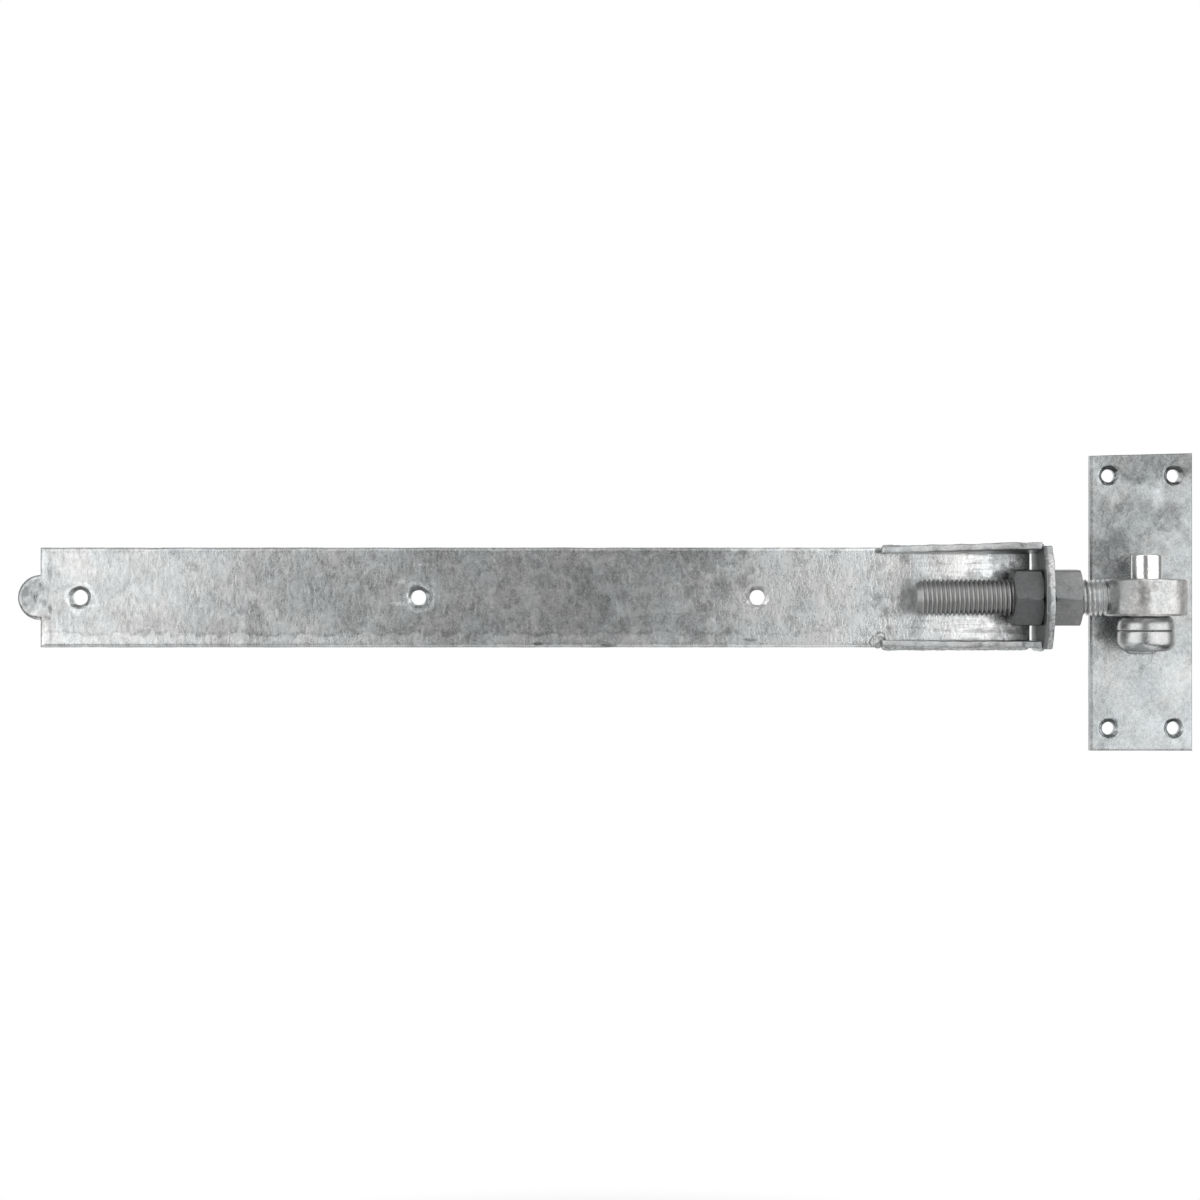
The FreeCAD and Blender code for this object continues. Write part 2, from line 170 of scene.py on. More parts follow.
# %% World
WHITE = (1, 1, 1, 1)
ROOM_GREY = (0.28, 0.28, 0.28, 1)
BELOW_SHARE = 0.5
world = bpy.data.worlds.new("studio")
bpy.context.scene.world = world
world.use_nodes = True
tree = world.node_tree
tree.nodes.clear()
direction = add(tree, "TexCoord").outputs["Generated"]
behind = fade(tree, component(tree, direction, "Y"), 0.45, 0.9)
below = fade(tree, component(tree, direction, "Z"), -0.7, -0.05, BELOW_SHARE, 1.0)
room = add(tree, "Background", {"Color": ROOM_GREY, "Strength": below})
plain = add(tree, "Background", {"Color": WHITE})
rays = add(tree, "LightPath").outputs
mirrored = maths(tree, "MULTIPLY", rays["Is Glossy Ray"], behind)
seen = maths(tree, "MAXIMUM", rays["Is Camera Ray"], rays["Is Transmission Ray"])
seen = maths(tree, "MAXIMUM", seen, mirrored)
mixed = add(tree, "MixShader", {0: seen, 1: room.outputs[0], 2: plain.outputs[0]})
add(tree, "OutputWorld", {"Surface": mixed.outputs[0]})

# %% [markdown]
# The hinge is a wall fitting, so the pale floor lies well under it. Its middle takes the soft shadow and
# its rim fades to the white of the backdrop, which hides where it ends. That white is only seen, by the
# camera and in the metal, and throws no light of its own.

# %% Floor
FLOOR_CENTRE = (CAMERA_PLACE.x, 0, -0.35)
FLOOR_RADIUS = 0.47
FLOOR_FADE = (0.22, 0.42)
FLOOR_GREY = (0.86, 0.86, 0.86, 1)
CAMERA_WHITE = 0.6
bm = bmesh.new()
bmesh.ops.create_circle(bm, cap_ends=True, radius=FLOOR_RADIUS, segments=96)
bmesh.ops.translate(bm, verts=bm.verts, vec=FLOOR_CENTRE)
floor_mesh = bpy.data.meshes.new("floor")
bm.to_mesh(floor_mesh)
bm.free()
floor = bpy.data.objects.new("floor", floor_mesh)
bpy.context.scene.collection.objects.link(floor)
floor_material = bpy.data.materials.new("floor")
floor_material.use_nodes = True
tree = floor_material.node_tree
tree.nodes.clear()
where = add(tree, "TexCoord").outputs["Object"]
far = add(tree, "VectorMath", {0: where, 1: FLOOR_CENTRE}, operation="DISTANCE").outputs["Value"]
matt = add(tree, "BsdfDiffuse", {"Color": FLOOR_GREY})
white = add(tree, "Emission", {"Color": WHITE})
rays = add(tree, "LightPath").outputs
seen = maths(tree, "MAXIMUM", rays["Is Camera Ray"], rays["Is Transmission Ray"])
seen = maths(tree, "MAXIMUM", seen, rays["Is Glossy Ray"])
to_camera = maths(tree, "MULTIPLY", rays["Is Camera Ray"], CAMERA_WHITE)
pale = maths(tree, "MAXIMUM", fade(tree, far, *FLOOR_FADE), to_camera)
share = maths(tree, "MULTIPLY", pale, seen)
mixed = add(tree, "MixShader", {0: share, 1: matt.outputs[0], 2: white.outputs[0]})
add(tree, "OutputMaterial", {"Surface": mixed.outputs[0]})
floor_mesh.materials.append(floor_material)

# %% [markdown]
# ## Tools for the pieces
# Most parts are plates or turned forms. A plate starts as a dense grid, so that its rim can be rounded
# and its zinc pushed about point by point. A turned form is one profile spun about an axis.


# %% Make an object from a mesh
def shade(mesh, sharp):
    """Smooth shading, except at edges sharper than the angle in degrees."""
    mesh.shade_smooth()
    mesh.set_sharp_from_angle(angle=math.radians(sharp))


def finish_piece(bm, name, sharp=38):
    """Closed mesh to object."""
    bmesh.ops.remove_doubles(bm, verts=bm.verts, dist=NEARER)
    bmesh.ops.recalc_face_normals(bm, faces=bm.faces)
    mesh = bpy.data.meshes.new(name)
    bm.to_mesh(mesh)
    bm.free()
    shade(mesh, sharp)
    piece = bpy.data.objects.new(name, mesh)
    bpy.context.scene.collection.objects.link(piece)
    return piece


def combine(piece, tool, operation, sharp=38):
    """Boolean of two closed pieces. The tool is used up."""
    step = piece.modifiers.new("combine", "BOOLEAN")
    step.operation = operation
    step.solver = "EXACT"
    step.object = tool
    depsgraph = bpy.context.evaluated_depsgraph_get()
    mesh = bpy.data.meshes.new_from_object(piece.evaluated_get(depsgraph))
    piece.modifiers.clear()
    piece.data = mesh
    bpy.data.objects.remove(tool)
    shade(mesh, sharp)


# %% Turned forms and arcs in a profile
def arc(centre, radius, start, end, steps=6, height=None):
    """Points of an arc in a profile, with its angles in degrees. A height makes it an ellipse."""
    rise = radius if height is None else height
    angles = [math.radians(start + (end - start) * step / steps) for step in range(steps + 1)]
    return [(centre[0] + radius * math.cos(angle), centre[1] + rise * math.sin(angle)) for angle in angles]


def turned(profile, steps, closed=False):
    """Spin a profile of (radius, height) points, in millimetres, about Z."""
    bm = bmesh.new()
    verts = [bm.verts.new((radius * MM, 0, height * MM)) for radius, height in profile]
    pairs = list(zip(verts, verts[1:])) + ([(verts[-1], verts[0])] if closed else [])
    edges = [bm.edges.new(pair) for pair in pairs]
    bmesh.ops.spin(bm, geom=verts + edges, cent=(0, 0, 0), axis=(0, 0, 1), angle=2 * math.pi,
                   steps=steps, use_merge=True)
    bmesh.ops.remove_doubles(bm, verts=bm.verts, dist=NEARER)
    bmesh.ops.recalc_face_normals(bm, faces=bm.faces)
    return bm


def stand(bm, axis, place):
    """Turn a form made about Z to lie along an axis, and move it to its place."""
    turn = Vector((0, 0, 1)).rotation_difference(Vector(axis)).to_matrix()
    bmesh.ops.rotate(bm, verts=bm.verts, cent=(0, 0, 0), matrix=turn)
    bmesh.ops.translate(bm, verts=bm.verts, vec=place)
    return bm


# %% Uneven zinc
def unsettle(bm, height, size, seed, back=math.inf):
    """Each point moves along its normal by a smooth noise, but never behind a back face that rests on
    wood. Height and size of the noise are in millimetres."""
    bm.normal_update()
    for vert in bm.verts:
        shift = noise.noise(vert.co / (size * MM) + Vector((seed, 2 * seed, 3 * seed)))
        vert.co += vert.normal * height * MM * shift
        vert.co.y = min(vert.co.y, back)


def lumps(place, coarse, fine):
    """Noise of two sizes, in millimetres, with the finer one at half the height."""
    return noise.noise(place / (coarse * MM)) + 0.5 * noise.noise(place / (fine * MM))


# %% A flat bar as a dense grid with rounded front edges
RIM_STEPS = (0.12, 0.35, 0.7, 1.1, 1.6, 2.1)


def grid_lines(low, high, cell, rim_low=True, rim_high=True):
    """Places of grid lines, in metres, close together at a rim that is to be rounded."""
    rim = [step * MM for step in RIM_STEPS]
    first = [low] + ([low + step for step in rim] if rim_low else [])
    last = ([high - step for step in reversed(rim)] if rim_high else []) + [high]
    count = round((last[0] - first[-1]) / (cell * MM))
    middle = [first[-1] + (last[0] - first[-1]) * step / count for step in range(1, count)]
    return first + middle + last


def flat_grid(columns, rows, front):
    """Upright sheet of quads with the given columns in X and rows in Z."""
    bm = bmesh.new()
    bmesh.ops.create_grid(bm, x_segments=len(columns) - 1, y_segments=len(rows) - 1, size=1)
    reach = max(vert.co.x for vert in bm.verts)
    for vert in bm.verts:
        column = round((vert.co.x / reach + 1) / 2 * (len(columns) - 1))
        row = round((vert.co.y / reach + 1) / 2 * (len(rows) - 1))
        vert.co = (columns[column], front, rows[row])
    return bm


def thicken(bm, back):
    made = bmesh.ops.extrude_face_region(bm, geom=bm.faces[:])
    for item in made["geom"]:
        if isinstance(item, bmesh.types.BMVert):
            item.co.y = back


def round_rim(bm, front, radius, depth, distance_to_rim):
    """Push the front face back near its rim, as a quarter of an ellipse."""
    for vert in bm.verts:
        inward = max(0.0, distance_to_rim(vert.co) / MM) / radius
        if abs(vert.co.y - front) < NEAR and inward < 1:
            vert.co.y += depth * MM * (1 - math.sqrt(1 - (1 - inward) ** 2))


# %% Countersunk holes
SINK_MOUTH = 0.6
SLOPE_STEPS, DRILL_STEPS = 6, 4


def sunk_cutter(x, z, hole, sink, front, back, seed):
    """Drill with a 90 degree countersink that opens at the front, slightly clogged with zinc."""
    end = (back - front) / MM + 1
    wide, narrow = sink / 2 + SINK_MOUTH, hole / 2
    seat = wide - narrow - SINK_MOUTH
    slope = [(wide + (narrow - wide) * part / SLOPE_STEPS,
              -SINK_MOUTH + (seat + SINK_MOUTH) * part / SLOPE_STEPS) for part in range(SLOPE_STEPS + 1)]
    shank = [(narrow, seat + (end - seat) * part / DRILL_STEPS) for part in range(1, DRILL_STEPS + 1)]
    profile = [(0, -SINK_MOUTH)] + slope + shank + [(0, end)]
    bm = stand(turned(profile, steps=56), (0, 1, 0), (x, front, z))
    unsettle(bm, 0.22, 2.2, seed)
    return finish_piece(bm, "drill")


# %% Put a piece on its body in place of the frame's plain part
def dress(piece, node, material):
    piece.data.materials.clear()
    piece.data.materials.append(material)
    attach(piece, BODY_OF[node])
    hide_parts(node)
    print(piece.name, len(piece.data.polygons), "faces")


# %% [markdown]
# ## The zinc
# Hot-dip zinc is a mottled grey metal: broad clouds, smaller blotches, a fine drawn grain and specks, all
# of which change its gloss as well as its tone. One function mixes those layers, and each part gives it
# its own tones, grain direction and marks.

# %% Layers of noise and marks
MARK_DEPTH = 4 * MM
PATCH_EDGE = (0.55, 1.15)
RING_EDGE = (0.04, 0.22)


def cloud(tree, where, size, detail, roughness=0.55, distortion=0.0, stretch=(1, 1, 1)):
    """Noise whose lumps are about the given size in millimetres."""
    mapped = add(tree, "Mapping", {"Vector": where, "Scale": stretch}).outputs[0]
    inputs = {"Vector": mapped, "Scale": 1 / (size * MM), "Detail": detail, "Roughness": roughness,
              "Distortion": distortion}
    return add(tree, "TexNoise", inputs).outputs["Fac"]


def distance_in(tree, where, wobble, centre, size, front):
    """1 on the rim of an ellipse in X and Z with a ragged edge. Lengths are in millimetres. Where a front
    is given, the mark lies on the face at that depth and dies out behind it."""
    scale = (1 / (size[0] * MM), 0 if front is None else 1 / MARK_DEPTH, 1 / (size[1] * MM))
    shift = (-centre[0] * MM * scale[0], -(front or 0) * scale[1], -centre[1] * MM * scale[2])
    local = add(tree, "VectorMath", {0: where, 1: scale, 2: shift}, operation="MULTIPLY_ADD").outputs[0]
    moved = add(tree, "VectorMath", {0: local, 1: wobble}, operation="ADD").outputs[0]
    return add(tree, "VectorMath", {0: moved}, operation="LENGTH").outputs["Value"]


def mark(tree, where, wobble, centre, size, front):
    """Mask of a ragged patch."""
    return fade(tree, distance_in(tree, where, wobble, centre, size, front), *PATCH_EDGE, 1.0, 0.0)


def ring_mark(tree, where, wobble, centre, size, front):
    """Mask of a thin ragged ring."""
    apart = maths(tree, "SUBTRACT", distance_in(tree, where, wobble, centre, size, front), 1.0)
    return fade(tree, maths(tree, "ABSOLUTE", apart), *RING_EDGE, 1.0, 0.0)


# %% [markdown]
# A tone between 0 and 1 is built up first: noise layers, then the marks, rings, bands and streaks that a
# part has. It picks a grey from two ramps, a cool one and a warm one, and the same noise sets how dull
# and how bumpy the zinc is. Rubbed and polished zones are smoother.

# %% The galvanised finish
COOL, WARM = (0.945, 1.0, 1.018), (1.015, 1.0, 0.985)
CURL_SCALE = 190.0
RAGGED = 0.7
BAND_WANDER = 6 * MM
WALL_FADE = (-3.5 * MM, -1.5 * MM)
STREAK_CONTRAST = 2.6
POLISH = 0.14
BUMP_DEPTH = 0.4 * MM


def galvanised(name, tones, grain=(1, 1, 1), contrast=1.0, fine=1.0, gloss=(0.22, 0.36), bump=0.35,
               blotch=7.0, broad=46.0, metal=0.95, warmth=(0.25, 0.75), marks=(), rings=(), bands=(),
               streaks=(), polished=(), front=None, seed=0.0):
    """Mottled zinc. tones is its dark and its light end, and warmth the range of its hue. Marks, rings and
    streaks are (centre, size, shift), a band is (height, half width, shift), a polished zone (centre, size).
    """
    material = bpy.data.materials.new(name)
    material.use_nodes = True
    tree = material.node_tree
    shader = tree.nodes["Principled BSDF"]
    where = add(tree, "TexCoord").outputs["Object"]
    moved = add(tree, "VectorMath", {0: where, 1: (seed, seed, seed)}, operation="ADD").outputs[0]
    clouds = cloud(tree, moved, broad, 5.0, 0.6, 0.3)
    blotches = cloud(tree, moved, blotch, 6.0, 0.7, 0.7)
    drawn = cloud(tree, moved, 1.7, 3.0, 0.65, 0.8, grain)
    specks = cloud(tree, moved, 0.8, 2.0, 0.5)
    tone = 0.5
    for layer, weight in ((clouds, 0.9), (blotches, 0.9), (drawn, 0.85 * fine), (specks, 0.3 * fine)):
        tone = maths(tree, "MULTIPLY_ADD", maths(tree, "SUBTRACT", layer, 0.5), weight * contrast, tone)

    curls = add(tree, "TexNoise", {"Vector": moved, "Scale": CURL_SCALE, "Detail": 3.0}).outputs["Color"]
    about_zero = {0: curls, 1: (2 * RAGGED,) * 3, 2: (-RAGGED,) * 3}
    wobble = add(tree, "VectorMath", about_zero, operation="MULTIPLY_ADD").outputs[0]
    for centre, size, shift in marks:
        tone = maths(tree, "MULTIPLY_ADD", mark(tree, where, wobble, centre, size, front), shift, tone)
    for centre, size, shift in rings:
        tone = maths(tree, "MULTIPLY_ADD", ring_mark(tree, where, wobble, centre, size, front), shift, tone)
    height = maths(tree, "MULTIPLY_ADD", component(tree, wobble, "Z"), BAND_WANDER,
                   component(tree, where, "Z"))
    off_wall = fade(tree, component(tree, where, "Y"), *WALL_FADE, 1.0, 0.0)
    for level, half_width, shift in bands:
        apart = maths(tree, "ABSOLUTE", maths(tree, "SUBTRACT", height, level * MM))
        band = fade(tree, apart, half_width * 0.4 * MM, half_width * 1.4 * MM, 1.0, 0.0)
        tone = maths(tree, "MULTIPLY_ADD", maths(tree, "MULTIPLY", band, off_wall), shift, tone)
    smear = cloud(tree, moved, 1.8, 3.0, 0.6, 0.8, (0.12, 1, 1))
    rubbed = 0.0
    for centre, size, shift in streaks:
        zone = mark(tree, where, wobble, centre, size, front)
        wave = maths(tree, "MULTIPLY_ADD", maths(tree, "SUBTRACT", smear, 0.5), STREAK_CONTRAST, shift)
        tone = maths(tree, "MULTIPLY_ADD", zone, wave, tone)
        rubbed = maths(tree, "MAXIMUM", rubbed, zone)
    shine = rubbed
    for centre, size in polished:
        shine = maths(tree, "MAXIMUM", shine, mark(tree, where, wobble, centre, size, front))

    cool, warm = (ramp(tree, tone, [(end, [level * part for part in hue]) for end, level in enumerate(tones)])
                  for hue in (COOL, WARM))
    hue = fade(tree, cloud(tree, moved, 15.0, 3.0), 0.36, 0.64, *warmth)
    tree.links.new(blend(tree, hue, cool, warm), shader.inputs["Base Color"])
    shader.inputs["Metallic"].default_value = metal
    dull = maths(tree, "MULTIPLY_ADD", blotches, 0.6, maths(tree, "MULTIPLY", specks, 0.4))
    rough = maths(tree, "MULTIPLY_ADD", shine, -POLISH, fade(tree, dull, 0.3, 0.7, *gloss))
    tree.links.new(rough, shader.inputs["Roughness"])
    relief = maths(tree, "MULTIPLY_ADD", blotches, 0.7, maths(tree, "MULTIPLY", drawn, 0.55))
    relief = maths(tree, "MULTIPLY_ADD", specks, 0.08, relief)
    relief = maths(tree, "MULTIPLY_ADD", maths(tree, "MULTIPLY", rubbed, smear), 0.3, relief)
    strength = bump
    if streaks or polished:
        strength = maths(tree, "MULTIPLY_ADD", shine, -0.7 * bump, bump)
    bumped = add(tree, "Bump", {"Height": relief, "Strength": strength, "Distance": BUMP_DEPTH})
    tree.links.new(bumped.outputs[0], shader.inputs["Normal"])
    return material


# %% [markdown]
# ## The strap
# The band is 45 mm flat bar with rolled round edges and a rough half-round nose. It is one long grid:
# the squares outside the nose are deleted, what is left is pulled onto the nose's circle, and the
# distance to the outline then rounds every edge, so the nose runs into the bar as the real one does.

# %% Strap outline
strap_low, strap_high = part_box("strap")
STRAP_FRONT, STRAP_BACK = strap_low.y, strap_high.y
NOSE_RADIUS = 10.1 * MM
SHOULDER_X = strap_low.x + NOSE_RADIUS
STRAP_Z = (strap_low.z + strap_high.z) / 2
NOSE_CENTRE = Vector((SHOULDER_X, STRAP_Z))
EDGE_WIDTH, EDGE_DEPTH = 2.2, 1.5
HOLE_INSET, HOLE_PITCH = 17.6, 151.2
STRAP_HOLES = [SHOULDER_X + (HOLE_INSET + HOLE_PITCH * number) * MM for number in range(3)]
print("strap holes at", [round(x, 4) for x in STRAP_HOLES])


def even_lines(low, high, cell):
    count = math.ceil((high - low) / (cell * MM))
    return [low + (high - low) * step / count for step in range(count)]


def strap_rim(point):
    """Distance inside the outline of the bar or of the nose, whichever is deeper."""
    in_bar = min(point.x - SHOULDER_X, point.z - strap_low.z, strap_high.z - point.z)
    in_nose = NOSE_RADIUS - (Vector((point.x, point.z)) - NOSE_CENTRE).length
    return max(in_bar, in_nose)


# %% Strap sheet, cut to its nose
BAR_CELL, BAR_ROW = 1.7, 1.6
NOSE_CELL, NOSE_ROW = 0.5, 0.62
nose_low, nose_high = STRAP_Z - NOSE_RADIUS, STRAP_Z + NOSE_RADIUS
rows = (grid_lines(strap_low.z, nose_low, BAR_ROW, rim_high=False)[:-1]
        + even_lines(nose_low, nose_high, NOSE_ROW)
        + grid_lines(nose_high, strap_high.z, BAR_ROW, rim_low=False))
columns = (even_lines(strap_low.x - 0.2 * MM, SHOULDER_X, NOSE_CELL)
           + grid_lines(SHOULDER_X, strap_high.x, BAR_CELL, rim_high=False))
bm = flat_grid(columns, rows, STRAP_FRONT)
outside = [face for face in bm.faces if strap_rim(face.calc_center_median()) < 0]
bmesh.ops.delete(bm, geom=outside, context="FACES")
for vert in bm.verts:
    if vert.is_boundary and vert.co.x < SHOULDER_X - NEAR:
        flat = Vector((vert.co.x, vert.co.z)) - NOSE_CENTRE
        flat = NOSE_CENTRE + flat.normalized() * NOSE_RADIUS
        vert.co.x, vert.co.z = flat
print("strap sheet:", len(bm.faces), "squares")

# %% Strap thickness, round edges and drips
# A drip wave is its length along the edge, its seed and its height
DRIP_WAVES = ((14, 0, 0.12), (3.5, 9, 0.07))
DRIP_REACH = 4 * MM
NOSE_LUMP = 0.32 * MM


def drip(point):
    """How far a point of the long edges is drawn in, in millimetres."""
    side = math.copysign(3, point.z - STRAP_Z)
    return sum(height * (1 + noise.noise(Vector((point.x / (length * MM), seed, side))))
               for length, seed, height in DRIP_WAVES)


thicken(bm, STRAP_BACK)
round_rim(bm, STRAP_FRONT, EDGE_WIDTH, EDGE_DEPTH, strap_rim)
for vert in bm.verts:
    near_edge = max(0.0, 1 - min(vert.co.z - strap_low.z, strap_high.z - vert.co.z) / DRIP_REACH)
    vert.co.z -= math.copysign(near_edge * drip(vert.co) * MM, vert.co.z - STRAP_Z)
    on_nose = max(0.0, min(1.0, (SHOULDER_X + 3 * MM - vert.co.x) / (5 * MM)))
    if vert.co.y < STRAP_BACK - MM:
        vert.co.y += NOSE_LUMP * on_nose * (lumps(vert.co, 4.2, 1.9) + 0.3)
unsettle(bm, 0.05, 8, seed=1, back=STRAP_BACK)
strap = finish_piece(bm, "strap_bar")
for number, x in enumerate(STRAP_HOLES):
    combine(strap, sunk_cutter(x, STRAP_Z, 6.8, 10.4, STRAP_FRONT, STRAP_BACK, seed=number), "DIFFERENCE")

# %% [markdown]
# The band's own marks are placed in X and Z, in millimetres from the hook plate's centre: a dark stain
# behind the first hole, drips along the lower edge and rubbed zinc inside the box. Painted light and shade
# are laid on too: painted shade in the upper lip of each sunk hole, under the upper gusset's toe, by the
# inner nut and along the top edge, and painted light that makes the band lighter at the nose end and
# towards the box, and lighter where it is rubbed.

# %% Strap finish
STRAP_MARKS = (
    ((-396, 13), (5, 9), -0.16),
    ((-395, -9), (5, 11), -0.20),
    # Painted light at the nose end, then painted shade: the band greyer past it.
    ((-476, 2), (38, 32), 0.05),
    ((-426, 2), (34, 32), -0.08),
    ((-499, 2), (11, 12), -0.22),
    ((-486.6, 15), (1.2, 8), -0.20),
    ((-486.6, -13), (1.2, 6), -0.20),
    ((-489.2, -0.8), (1.2, 2.4), -0.32),
    ((-486.6, -3.4), (1.0, 2.0), -0.40),
    ((-488.2, -7.0), (1.8, 1.1), -0.30),
    ((-497.5, 4.5), (1.8, 2.6), -0.26),
    # Painted shade: the middle of the band greyer.
    ((-300, 2), (70, 26), -0.06),
    ((-205, 16), (40, 12), -0.06),
    ((-182, 9), (9, 6), -0.26),
    # Painted light: the band lighter towards the box.
    ((-146, 2), (54, 34), 0.46),
    ((-174, -16.9), (3.6, 0.9), -0.7),
    ((-269, -18.6), (2.6, 0.9), -0.6),
    ((-238, -19.3), (4.8, 0.8), -0.6),
    ((-289, 24), (0.9, 0.8), -0.6),
    # Painted shadow under the toe of the upper gusset.
    ((-117.2, 22.7), (1.9, 1.2), -1.3),
    ((-320, 16.6), (3.4, 0.8), 0.3),
    ((-330, 9.2), (3.8, 1.0), 0.3),
    ((-331, -0.8), (4.8, 1.0), 0.3),
    # Painted shade on the band in the box's corner, by the inner nut and the end plate.
    ((-52.5, 2), (9, 30), -0.5),
)
# Painted shade in the upper lip of each sunk hole.
HOLE_LIP_SHADE = tuple(((x / MM, STRAP_Z / MM + 3.2), (4.4, 2.1), -0.6) for x in STRAP_HOLES)
STRAP_RINGS = (
    ((-117, -17.5), (3.6, 3.4), -0.7),
    ((STRAP_HOLES[0] / MM + 0.6, 2), (6.1, 6.1), 0.22),
    ((STRAP_HOLES[1] / MM + 0.4, 2), (6.4, 6.1), 0.3),
    ((STRAP_HOLES[2] / MM - 0.6, 2), (6.8, 6.1), 0.25),
)
# A pale drip band and a dark line along the lower edge, and painted shade along the top rounded edge.
STRAP_DRIPS_AND_EDGE_SHADE = ((-17.0, 2.6, 0.20), (-13.9, 0.7, -0.14), (23.9, 1.5, -0.16))
# Rubbed zinc inside the box: streaky and smoother, and painted lighter, a painted sheen.
RUBBED_AND_SHEEN = (
    ((-87, 17), (30, 7.5), 0.50),
    ((-87, -12.5), (30, 8.5), 0.50),
)
POLISHED = (((-92, 2), (36, 22)),)
zinc_bar = galvanised("zinc_bar", (0.26, 0.93), grain=(1, 1, 0.42), fine=1.1, bump=0.45, warmth=(0.3, 0.75),
                      marks=STRAP_MARKS + HOLE_LIP_SHADE, rings=STRAP_RINGS, bands=STRAP_DRIPS_AND_EDGE_SHADE, streaks=RUBBED_AND_SHEEN,
                      polished=POLISHED, front=STRAP_FRONT)
dress(strap, "strap", zinc_bar)

# %% [markdown]
# ## End plate and gussets
# The box at the band's end is three plates welded on edge. The end plate has an arched front and the
# bolt's hole, and each gusset tapers to a toe. They are flat blanks with softened edges.


# %% Blanks cut from plate
def blank(outline, thickness, axis):
    """Closed blank from an outline of points in metres, thickened along an axis."""
    bm = bmesh.new()
    face = bm.faces.new([bm.verts.new(point) for point in outline])
    made = bmesh.ops.extrude_face_region(bm, geom=[face])
    verts = [item for item in made["geom"] if isinstance(item, bmesh.types.BMVert)]
    bmesh.ops.translate(bm, verts=verts, vec=Vector(axis) * thickness)
    bmesh.ops.recalc_face_normals(bm, faces=bm.faces)
    return bm


def slice_up(bm, cell):
    """Cut the whole mesh by evenly spaced planes, so that its zinc can be pushed about."""
    for axis in range(3):
        low = min(vert.co[axis] for vert in bm.verts)
        high = max(vert.co[axis] for vert in bm.verts)
        count = int((high - low) / (cell * MM))
        normal = Vector([float(axis == other) for other in range(3)])
        for step in range(1, count):
            place = normal * (low + (high - low) * step / count)
            bmesh.ops.bisect_plane(bm, geom=bm.verts[:] + bm.edges[:] + bm.faces[:], plane_co=place,
                                   plane_no=normal, dist=NEAR)


def soften(bm, width):
    """Round every real corner of a blank, but not the shallow ones of an arch."""
    edges = [edge for edge in bm.edges if edge.calc_face_angle(0) > math.radians(30)]
    bmesh.ops.bevel(bm, geom=edges, offset=width * MM, affect="EDGES", segments=3, profile=0.5,
                    material=-1)


# %% End plate
plate_low, plate_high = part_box("end_plate")
ARCH_DROP = 9.4 * MM
ARCH_STEPS = 28
BOLT_HOLE = 17.0
half = (plate_high.z - plate_low.z) / 2
arch_radius = (half ** 2 + ARCH_DROP ** 2) / (2 * ARCH_DROP)
arch_centre = plate_low.y + arch_radius
arch_angle = math.asin(half / arch_radius)
outline = [(plate_low.x, plate_high.y, BOLT.z + half), (plate_low.x, plate_high.y, BOLT.z - half)]
for step in range(ARCH_STEPS + 1):
    angle = arch_angle * (2 * step / ARCH_STEPS - 1)
    outline.append((plate_low.x, arch_centre - arch_radius * math.cos(angle),
                    BOLT.z + arch_radius * math.sin(angle)))
bm = blank(outline, plate_high.x - plate_low.x, (1, 0, 0))
soften(bm, 0.7)
slice_up(bm, 2.5)
unsettle(bm, 0.3, 4.5, seed=2, back=plate_high.y)
end_plate = finish_piece(bm, "end_plate_arched")
bm = turned([(0, -2), (BOLT_HOLE / 2, -2), (BOLT_HOLE / 2, 8), (0, 8)], steps=64)
hole = finish_piece(stand(bm, (1, 0, 0), (plate_low.x, BOLT.y, BOLT.z)), "bolt_hole")
combine(end_plate, hole, "DIFFERENCE")
# Painted shade on the end plate's inner face, inside the box.
INNER_FACE_SHADE = (((plate_low.x / MM, BOLT.z / MM), (1.9, 60), -0.7),)
zinc_end = galvanised("zinc_end", (0.24, 0.80), contrast=1.5, fine=1.5, gloss=(0.34, 0.50), bump=0.6,
                      blotch=4.0, broad=16.0, marks=INNER_FACE_SHADE, seed=3.0)
dress(end_plate, "end_plate", zinc_end)

# %% [markdown]
# The upper gusset of the photographed hinge was tacked a little out of square: it leans outwards, so its
# front edge climbs towards the eye and its dark inner face shows.

# %% Gussets
TOE_HEIGHT = 4.0 * MM
LEVEL_LENGTH = 9.0 * MM
# Lean, shift in Z and seed of each gusset
GUSSETS = {"upper": (math.radians(3.1), -1.15 * MM, 5), "lower": (0.0, 0.0, 8)}
zinc_plate = galvanised("zinc_plate", (0.24, 0.72), contrast=1.1, fine=1.1, gloss=(0.24, 0.42), bump=0.6,
                        blotch=4.0, broad=16.0, seed=3.0)
for side, (lean, shift, seed) in GUSSETS.items():
    low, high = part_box(f"{side}_gusset")
    corners = ((low.x, high.y), (low.x, high.y - TOE_HEIGHT), (high.x - LEVEL_LENGTH, low.y),
               (high.x, low.y), (high.x, high.y))
    bm = blank([(x, y, low.z) for x, y in corners], high.z - low.z, (0, 0, 1))
    soften(bm, 0.75)
    slice_up(bm, 2.2)
    unsettle(bm, 0.4, 4.5, seed)
    bmesh.ops.rotate(bm, verts=bm.verts, cent=(0, high.y, low.z), matrix=Matrix.Rotation(-lean, 3, "X"))
    bmesh.ops.translate(bm, verts=bm.verts, vec=(0, 0, shift))
    dress(finish_piece(bm, f"{side}_gusset_plate"), f"{side}_gusset", zinc_plate)

# %% [markdown]
# ## Weld beads
# A bead is a thin bar of metal laid down in overlapping puddles. It starts as a circle swept along a
# line, and each ring is then swelled or pinched. Zinc has filled most of the ripples.

# %% Rippled beads
BEAD_PITCH = 3.1


